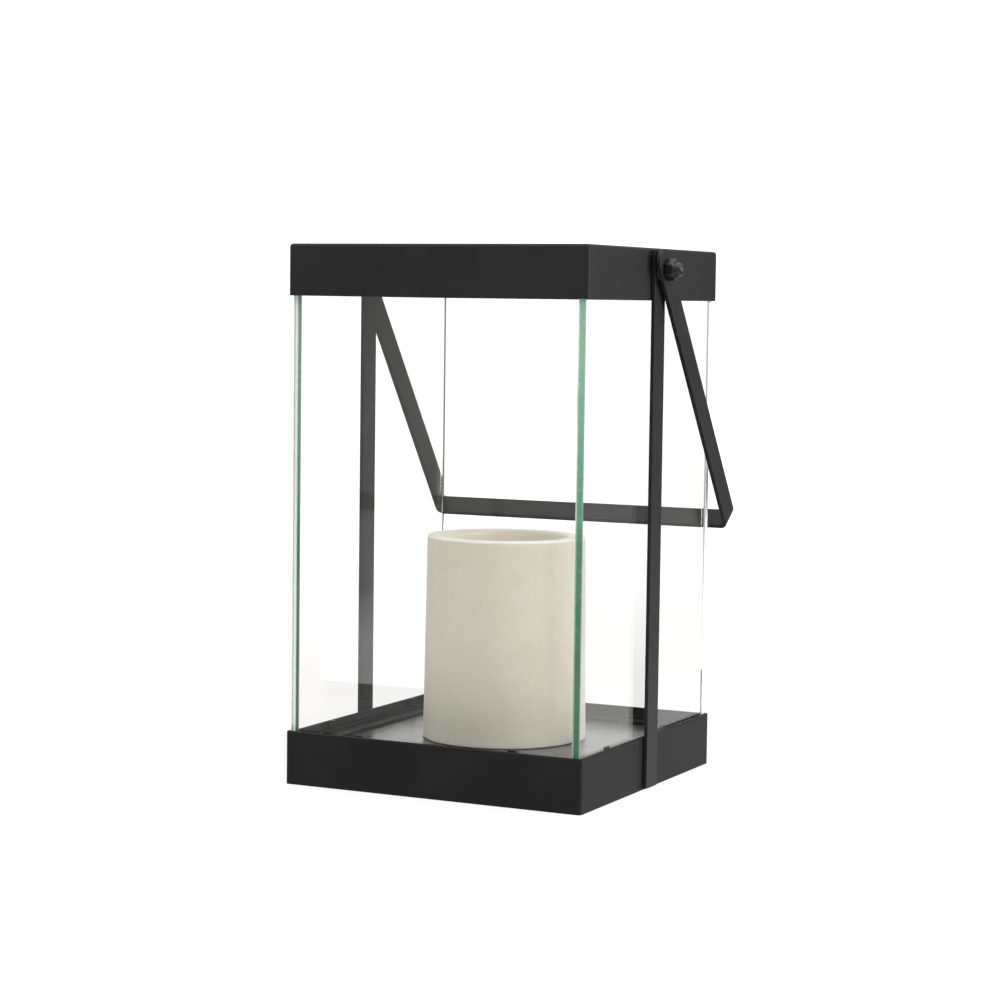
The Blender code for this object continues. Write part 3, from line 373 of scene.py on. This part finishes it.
def smoothing(name, above=None):
    """Geometry nodes that weld a faceted solid and shade it smooth except across sharp edges.

    If above is given, the sharp edges higher than it are also marked for bevelling.
    """
    tree = bpy.data.node_groups.new(name, "GeometryNodeTree")
    tree.interface.new_socket("Geometry", in_out="INPUT", socket_type="NodeSocketGeometry")
    tree.interface.new_socket("Geometry", in_out="OUTPUT", socket_type="NodeSocketGeometry")
    start = tree.nodes.new("NodeGroupInput")
    weld = tree.nodes.new("GeometryNodeMergeByDistance")
    weld.inputs["Distance"].default_value = WELD
    forget = tree.nodes.new("GeometryNodeRemoveAttribute")
    forget.inputs["Name"].default_value = "custom_normal"
    faces = tree.nodes.new("GeometryNodeSetShadeSmooth")
    faces.domain = "FACE"
    faces.inputs["Shade Smooth"].default_value = True
    angle = tree.nodes.new("GeometryNodeInputMeshEdgeAngle")
    sharp = tree.nodes.new("FunctionNodeCompare")
    sharp.operation = "GREATER_THAN"
    sharp.inputs["B"].default_value = SHARP
    edges = tree.nodes.new("GeometryNodeSetShadeSmooth")
    edges.domain = "EDGE"
    edges.inputs["Shade Smooth"].default_value = False
    end = tree.nodes.new("NodeGroupOutput")
    link = tree.links.new
    link(start.outputs[0], weld.inputs["Geometry"])
    link(weld.outputs[0], forget.inputs["Geometry"])
    link(forget.outputs[0], faces.inputs["Geometry"])
    link(faces.outputs[0], edges.inputs["Geometry"])
    link(angle.outputs["Unsigned Angle"], sharp.inputs["A"])
    link(sharp.outputs[0], edges.inputs["Selection"])
    if above is None:
        link(edges.outputs[0], end.inputs[0])
        return tree
    place = tree.nodes.new("GeometryNodeInputPosition")
    split = tree.nodes.new("ShaderNodeSeparateXYZ")
    over = tree.nodes.new("FunctionNodeCompare")
    over.operation = "GREATER_THAN"
    over.inputs["B"].default_value = above
    both = tree.nodes.new("FunctionNodeBooleanMath")
    both.operation = "AND"
    mark = tree.nodes.new("GeometryNodeStoreNamedAttribute")
    mark.data_type = "FLOAT"
    mark.domain = "EDGE"
    mark.inputs["Name"].default_value = "bevel_weight_edge"
    link(place.outputs[0], split.inputs[0])
    link(split.outputs["Z"], over.inputs["A"])
    link(over.outputs[0], both.inputs[0])
    link(sharp.outputs[0], both.inputs[1])
    link(edges.outputs[0], mark.inputs["Geometry"])
    link(both.outputs[0], mark.inputs["Value"])
    link(mark.outputs[0], end.inputs[0])
    return tree


SMOOTHING = smoothing("weld_and_smooth")
RIM_SMOOTHING = smoothing("weld_and_smooth_rim", 2 * MM)


def refine(node, material, bevel=0.0, segments=2, flats=True, rim=False):
    """Gives a CAD node its material, smooth curves and slightly softened edges.

    flats joins the triangles of each flat face first, which suits every node without ring-shaped faces.
    rim leaves the edges near the ground as they are.
    """
    shown = NODES[node]
    shown.data.materials[0] = material
    weld = shown.modifiers.new("Smooth", "NODES")
    weld.node_group = RIM_SMOOTHING if rim else SMOOTHING
    if bevel and flats:
        flat = shown.modifiers.new("Flat", "DECIMATE")
        flat.decimate_type = "DISSOLVE"
        flat.angle_limit = FLAT
    if bevel:
        soft = shown.modifiers.new("Edges", "BEVEL")
        soft.width = bevel
        soft.segments = segments
        soft.limit_method = "WEIGHT" if rim else "ANGLE"
        soft.angle_limit = BEVELLED
        soft.use_clamp_overlap = False
        even = shown.modifiers.new("Normals", "WEIGHTED_NORMAL")
        even.keep_sharp = True


# ---------------------------------------------------------------- new pieces


def new_piece(name, mesh, material, body, replaced, smooth):
    """A piece made here: a bmesh in the row frame, riding on a body, in place of some CAD nodes or none.

    Edges sharper than smooth, in degrees, stay sharp.
    """
    data = bpy.data.meshes.new(name)
    mesh.to_mesh(data)
    mesh.free()
    data.materials.append(material)
    data.shade_smooth()
    data.set_sharp_from_angle(angle=math.radians(smooth))
    made = bpy.data.objects.new(name, data)
    bpy.context.scene.collection.objects.link(made)
    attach(made, body)
    if replaced:
        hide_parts(*replaced)


def lathe(profile, steps, shifted):
    """A closed or axis-ended profile of (radius, height) turned about Z.

    shifted gives each point's own radius and height from its radius, height and angle.
    """
    mesh = bmesh.new()
    rings = []
    for radius, height in profile:
        if radius < 1e-9:
            rings.append([mesh.verts.new((0, 0, height))])
            continue
        ring = []
        for step in range(steps):
            angle = 2 * math.pi * step / steps
            r, z = shifted(radius, height, angle)
            ring.append(mesh.verts.new((r * math.cos(angle), r * math.sin(angle), z)))
        rings.append(ring)
    pairs = list(zip(rings, rings[1:]))
    if len(rings[0]) > 1 and len(rings[-1]) > 1:
        pairs.append((rings[-1], rings[0]))
    for low, high in pairs:
        for step in range(steps):
            after = (step + 1) % steps
            if len(low) == 1:
                mesh.faces.new((low[0], high[after], high[step]))
            elif len(high) == 1:
                mesh.faces.new((low[step], low[after], high[0]))
            else:
                mesh.faces.new((low[step], low[after], high[after], high[step]))
    bmesh.ops.recalc_face_normals(mesh, faces=mesh.faces)
    return mesh


def arc(centre, radius, first, last, steps):
    """Points along an arc of a profile, from the first angle to the last, in degrees."""
    angles = [math.radians(first + (last - first) * step / steps) for step in range(steps + 1)]
    return [(centre[0] + radius * math.cos(a), centre[1] + radius * math.sin(a)) for a in angles]


def candle():
    """The ivory candle: a slight taper, a crisp lip, a dished bowl and a skin that is not quite even."""
    low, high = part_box("candle_body")
    clearance = 0.05 * MM
    foot, bottom, top = high.x - clearance, low.z, high.z - clearance
    taper = 1.2 * MM
    head = foot - taper
    wall = 5 * MM
    inside = foot - wall
    toe = 0.5 * MM
    lip = 0.9 * MM
    mouth = 27.6 * MM
    turn_in = 2.4 * MM
    shoulder = mouth + turn_in
    dip = 0.25 * MM
    bowl_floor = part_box("candle_cup")[1].z
    bowl_corner = 7 * MM
    post_hole = 3.4 * MM
    underside = bowl_floor - 3.9 * MM
    profile = [(inside, bottom), (foot - 0.6 * MM, bottom)]
    profile += arc((foot - toe, bottom + toe), toe, -60, 0, 4)
    profile += [(foot - taper * share, bottom + (top - bottom) * share)
                for share in np.linspace(0.03, 0.97, 60)]
    profile += arc((head - lip, top - lip), lip, 0, 90, 7)
    profile += [(head - lip + share * (shoulder - head + lip), top - dip * share)
                for share in (0.3, 0.6, 0.9)]
    profile += arc((shoulder, top - dip - turn_in), turn_in, 90, 180, 8)
    profile += arc((mouth - bowl_corner, bowl_floor + 7.1 * MM), bowl_corner, -4, -88, 12)
    profile += [(share * 17 * MM + post_hole, bowl_floor + clearance) for share in (0.8, 0.5, 0.25, 0)]
    profile += [(post_hole, underside), (inside, underside)]
    skin_depth = 1.2 * MM
    rim_depth = 12 * MM
    bowl_inner = 12 * MM
    easing = 6 * MM

    def uneven(r, z, angle):
        if r > head - skin_depth:
            skin = math.sin(3 * angle + 60 * z) * 0.4 + math.sin(7 * angle - 130 * z + 1.3) * 0.3
            skin += math.sin(170 * z + 2 * angle) * 0.3
            return r - clearance * (1 + skin), z
        if r > bowl_inner and z > top - rim_depth:
            bowl = 0.30 * math.sin(4 * angle + 0.9) + 0.18 * math.sin(9 * angle)
            return r + bowl * MM * min(1.0, (head - r) / easing), z
        return r, z

    replaced = ["candle_body", "candle_rim", "candle_cup"]
    new_piece("candle_wax", lathe(profile, 160, uneven), wax(), "lantern", replaced, 50)


def pivot_nuts():
    """Domed hexagon nuts with turned corners, one on each side."""
    nickel = metal("black_nickel", (0.050, 0.048, 0.050), 0.38)
    apothem, corner = 4.5 * MM, 5.1 * MM
    height, dome = 4.4 * MM, 3.4 * MM
    edge = height - 0.9 * MM
    profile = [(0, 0), (corner - 0.5 * MM, 0), (corner, 0.3 * MM)]
    profile += [(corner - cut, edge + cut) for cut in (0, 0.25 * MM, 0.5 * MM)]
    profile += [(apothem - 0.2 * MM, height - 0.12 * MM), (dome + 0.25 * MM, height - 0.05 * MM)]
    profile += arc((dome + 0.25 * MM, height + 0.15 * MM), 0.2 * MM, -90, -180, 4)
    profile += [(dome * math.cos(a), height + 0.3 * MM + (dome - 0.35 * MM) * math.sin(a))
                for a in np.linspace(0, math.pi / 2, 14)[:-1]]
    profile += [(0, height + dome - 0.05 * MM)]

    def turned_hexagon(r, z, angle):
        along = angle % (math.pi / 3) - math.pi / 6
        return min(r, apothem / math.cos(along)), z

    for side, name in ((-1, "left"), (1, "right")):
        mesh = lathe(profile, 96, turned_hexagon)
        low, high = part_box(f"pivot_nut_{name}")
        foot = high.x if side < 0 else low.x
        middle = (low.z + high.z) / 2
        place = Matrix.Translation((foot, 0, middle)) @ Matrix.Rotation(side * math.pi / 2, 4, "Y")
        bmesh.ops.transform(mesh, matrix=place, verts=mesh.verts)
        new_piece(f"dome_nut_{name}", mesh, nickel, "lantern", [f"pivot_nut_{name}"], 28)


def plate(mesh, centre, half, cut, low, high, ease=0.0):
    """Adds a flat plate with cut corners, and eases its top edge if asked to."""
    def ring(inset, height):
        x, y = half[0] - inset, half[1] - inset
        points = [(x, y - cut), (x - cut, y), (cut - x, y), (-x, y - cut),
                  (-x, cut - y), (cut - x, -y), (x - cut, -y), (x, cut - y)]
        return [mesh.verts.new((centre[0] + a, centre[1] + b, height)) for a, b in points]

    rings = [ring(0, low), ring(0, high - ease)]
    if ease:
        rings.append(ring(ease, high))
    for under, over in zip(rings, rings[1:]):
        for step, start in enumerate(under):
            after = (step + 1) % len(under)
            mesh.faces.new((start, under[after], over[after], over[step]))
    mesh.faces.new(reversed(rings[0]))
    mesh.faces.new(rings[-1])


def solar_wafers():
    """Thirty-six wafers on a backing sheet, joined by flat ribbons, in place of the plain cell sheet."""
    low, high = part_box("solar_cells")
    count = 6
    margin = 1.6 * MM
    pitch = (high.x - low.x - margin) / count
    places = [(number - (count - 1) / 2) * pitch for number in range(count)]
    clearance = 0.05 * MM
    sheet = high.z - 0.40 * MM
    wafer_half = pitch / 2 - 0.55 * MM
    wafer_top = high.z - 0.14 * MM
    mesh = bmesh.new()
    plate(mesh, (0, 0), (high.x - clearance, high.y - clearance), 0.6 * MM, low.z, sheet)
    for x in places:
        for y in places:
            half = (wafer_half, wafer_half)
            plate(mesh, (x, y), half, 1.8 * MM, sheet - clearance, wafer_top, 0.06 * MM)
    bmesh.ops.recalc_face_normals(mesh, faces=mesh.faces)
    new_piece("solar_wafers", mesh, silicon(), "lantern", ["solar_cells"], 30)

    length = high.y - margin
    underside = high.z - 0.16 * MM
    ribbon_top = high.z - 0.05 * MM
    bar_top = high.z - 0.03 * MM
    ease = 0.03 * MM
    mesh = bmesh.new()
    for x in places:
        for side in (-1, 1):
            centre = (x + side * pitch / 4, 0)
            plate(mesh, centre, (0.6 * MM, length), 0.2 * MM, underside, ribbon_top, ease)
    for side in (-1, 1):
        centre = (0, side * (length + 0.5 * MM))
        plate(mesh, centre, (high.x - 3 * MM, 0.9 * MM), 0.25 * MM, underside, bar_top, ease)
    bmesh.ops.recalc_face_normals(mesh, faces=mesh.faces)
    ribbon = metal("ribbon", (0.72, 0.72, 0.74), 0.28, (1, 0.1, 1))
    new_piece("solar_ribbons", mesh, ribbon, "lantern", (), 30)


# ---------------------------------------------------------------- assembling


def dress():
    """Every CAD node's material."""
    black = coat("powder_black", 0.48, 1.3, 0.16)
    # Painted shade: the tray takes a darker copy of the cap's black coat, standing in for less light on it.
    base_black_painted_shade = coat("powder_black_base_painted_shade", 0.50, 0.9, 0.11)
    # Painted light: the plate under the candle takes the same black coat made several times lighter,
    # standing in for light on it; its gloss is its own.
    deck_coat_painted_light = coat("deck_black_painted_light", 0.27, 3.6, 0.9)
    glass_along_x = glass("glass_x", "X")
    glass_along_y = glass("glass_y", "Y")
    zinc = metal("zinc", (0.56, 0.56, 0.58), 0.3)
    moulded = plastic("black_moulded", (0.018, 0.018, 0.018), 0.5)
    grey = plastic("grey_moulded", (0.28, 0.28, 0.29), 0.5)
    nylon = plastic("nylon", (0.03, 0.03, 0.03), 0.5)
    refine("cap_shell", black, 0.25 * MM)
    refine("base_shell", base_black_painted_shade, 0.25 * MM, flats=False, rim=True)
    for node in ("strap_left", "strap_right", "handle"):
        refine(node, black, 0.3 * MM, 3)
    for node in ("glass_retainer", "cap_liner"):
        refine(node, black, 0.12 * MM, flats=False)
    refine("floor_deck", deck_coat_painted_light, 0.2 * MM)
    for node in ("glass_front", "glass_back"):
        refine(node, glass_along_y)
    for node in ("glass_right", "glass_left"):
        refine(node, glass_along_x)
    for node in NODES:
        if "screw" in node or "bolt" in node or node.startswith("contact"):
            refine(node, zinc)
    for node in ("pivot_washer_left", "pivot_washer_right"):
        refine(node, nylon, 0.1 * MM)
    for node in ("solar_frame", "terminal_box", "battery_box", "battery_door", "switch_slider",
                 "driver_chip", "inductor"):
        refine(node, moulded, 0.1 * MM)
    for node in ("candle_base", "led_post", "switch_body"):
        refine(node, grey)
    for node in ("led_lead", "battery_lead", "panel_cable"):
        refine(node, plastic("sheath_" + node, (0.012, 0.012, 0.012), 0.55))
    refine("pcb", plastic("board_green", (0.02, 0.14, 0.05), 0.4))
    refine("battery_cell", metal("cell_jacket", (0.05, 0.24, 0.12), 0.35))
    refine("solar_cover", clear_resin())
    refine("led_lamp", plastic("lamp", (0.9, 0.85, 0.65), 0.2))


# ---------------------------------------------------------------- the studio


def sky():
    """An even grey sky with the lobes of SKY laid over it."""
    world = bpy.data.worlds.new("studio")
    bpy.context.scene.world = world
    world.use_nodes = True
    tree = world.node_tree
    coordinates = tree.nodes.new("ShaderNodeTexCoord")
    level = None
    for direction, start, full, strength in SKY:
        dot = tree.nodes.new("ShaderNodeVectorMath")
        dot.operation = "DOT_PRODUCT"
        dot.inputs[1].default_value = direction
        tree.links.new(coordinates.outputs["Generated"], dot.inputs[0])
        share = tree.nodes.new("ShaderNodeMapRange")
        share.interpolation_type = "SMOOTHSTEP"
        share.inputs["From Min"].default_value = start
        share.inputs["From Max"].default_value = full
        tree.links.new(dot.outputs["Value"], share.inputs["Value"])
        mix = tree.nodes.new("ShaderNodeMix")
        mix.inputs[2].default_value = SIDE_LIGHT
        if level:
            tree.links.new(level, mix.inputs[2])
        mix.inputs[3].default_value = strength
        tree.links.new(share.outputs["Result"], mix.inputs[0])
        level = mix.outputs[0]
    background = tree.nodes["Background"]
    background.inputs["Color"].default_value = (1, 1, 1, 1)
    tree.links.new(level, background.inputs["Strength"])


def studio_floor():
    """A round floor just under the object."""
    mesh = bmesh.new()
    bmesh.ops.create_circle(mesh, cap_ends=True, segments=96, radius=FLOOR_RADIUS)
    data = bpy.data.meshes.new("floor")
    mesh.to_mesh(data)
    mesh.free()
    data.materials.append(floor_material())
    floor = bpy.data.objects.new("floor", data)
    floor.location.z = -0.05 * MM
    floor.rotation_euler.z = FLOOR_TURN
    bpy.context.scene.collection.objects.link(floor)


def lamps():
    """The area lamps of LAMPS."""
    for name, place, target, width, power in LAMPS:
        light = bpy.data.lights.new(name, "AREA")
        light.shape = "SQUARE"
        light.size = width
        light.energy = power
        made = bpy.data.objects.new(name, light)
        made.location = place
        made.rotation_euler = (Vector(target) - Vector(place)).to_track_quat("-Z", "Y").to_euler()
        bpy.context.scene.collection.objects.link(made)


def camera():
    """The camera, where the photo was taken from."""
    data = bpy.data.cameras.new("camera")
    data.sensor_width = 36
    data.lens = CAMERA_LENS_MM
    data.clip_start = 0.01
    made = bpy.data.objects.new("camera", data)
    turn = Matrix.Rotation(CAMERA_TURN, 4, "Z") @ Matrix.Rotation(math.pi / 2 - CAMERA_DIP, 4, "X")
    turn = turn @ Matrix.Rotation(CAMERA_ROLL, 4, "Z")
    made.matrix_world = Matrix.Translation(CAMERA_PLACE) @ turn
    bpy.context.scene.collection.objects.link(made)
    bpy.context.scene.camera = made


dress()
candle()
pivot_nuts()
solar_wafers()
bpy.context.scene.view_settings.view_transform = "Standard"
sky()
studio_floor()
lamps()
camera()
